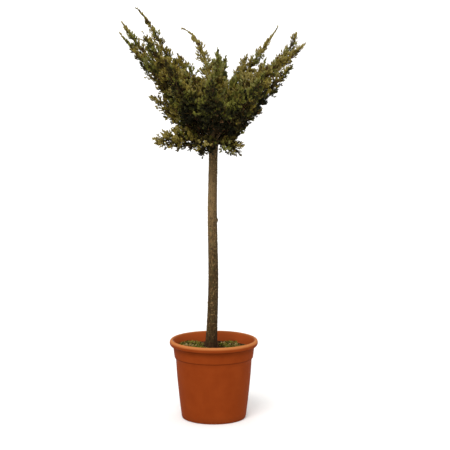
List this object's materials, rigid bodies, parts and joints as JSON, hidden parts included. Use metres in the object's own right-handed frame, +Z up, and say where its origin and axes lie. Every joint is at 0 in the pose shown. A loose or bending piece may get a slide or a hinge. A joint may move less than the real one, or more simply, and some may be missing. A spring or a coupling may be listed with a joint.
{
  "type": "potted standard juniper",
  "caption": "Spreading juniper grown as a standard: a clear upright stem with a wide crown of arching feathery plumes, in a round plastic nursery pot with soil and moss.",
  "frame": {"origin": "centre of the pot's flat underside, on the floor that the pot stands on", "axes": "+Z up along the stem, +X to the right and +Y away, seen from the side that the picture shows"},
  "size_m": [0.7013, 0.638, 1.5888],
  "materials": {
    "pot": "satin moulded plastic in a terracotta colour",
    "soil": "moist crumbly bark and peat compost",
    "moss": "low moss and small weeds",
    "bark": "rough grey-brown flaking bark",
    "foliage": "dull olive-green needles and scale leaves"
  },
  "bodies": {
    "root": {"pot": "pot", "soil": "soil", "moss_left_back": "moss", "moss_left_front": "moss", "moss_right_back": "moss", "moss_right_front": "moss", "stem": "bark", "bough_left_leader": "bark", "bough_left_upper": "bark", "bough_left_outer": "bark", "bough_left_inner": "bark", "bough_left_front": "bark", "bough_inner_left": "bark", "bough_inner_front": "bark", "bough_inner_right": "bark", "bough_inner_back": "bark", "bough_front": "bark", "bough_right_front": "bark", "bough_right_lower": "bark", "bough_right_outer": "bark", "bough_right_fork": "bark", "bough_right_leader": "bark", "bough_right_back": "bark", "bough_back": "bark", "bough_back_leader": "bark", "bough_left_back": "bark", "bough_low_right": "bark", "bough_low_right_front": "bark", "bough_low_front": "bark", "bough_low_left_front": "bark", "bough_low_left": "bark", "bough_low_back_left": "bark", "bough_low_back_right": "bark", "foliage_left_leader": "foliage", "foliage_left_upper": "foliage", "foliage_left_outer": "foliage", "foliage_left_inner": "foliage", "foliage_left_front": "foliage", "foliage_inner_left": "foliage", "foliage_inner_front": "foliage", "foliage_inner_right": "foliage", "foliage_inner_back": "foliage", "foliage_front": "foliage", "foliage_right_front": "foliage", "foliage_right_lower": "foliage", "foliage_right_outer": "foliage", "foliage_right_fork": "foliage", "foliage_right_leader": "foliage", "foliage_right_back": "foliage", "foliage_back": "foliage", "foliage_back_leader": "foliage", "foliage_left_back": "foliage", "foliage_low_right": "foliage", "foliage_low_right_front": "foliage", "foliage_low_front": "foliage", "foliage_low_left_front": "foliage", "foliage_low_left": "foliage", "foliage_low_back_left": "foliage", "foliage_low_back_right": "foliage"}
  },
  "joints": []
}
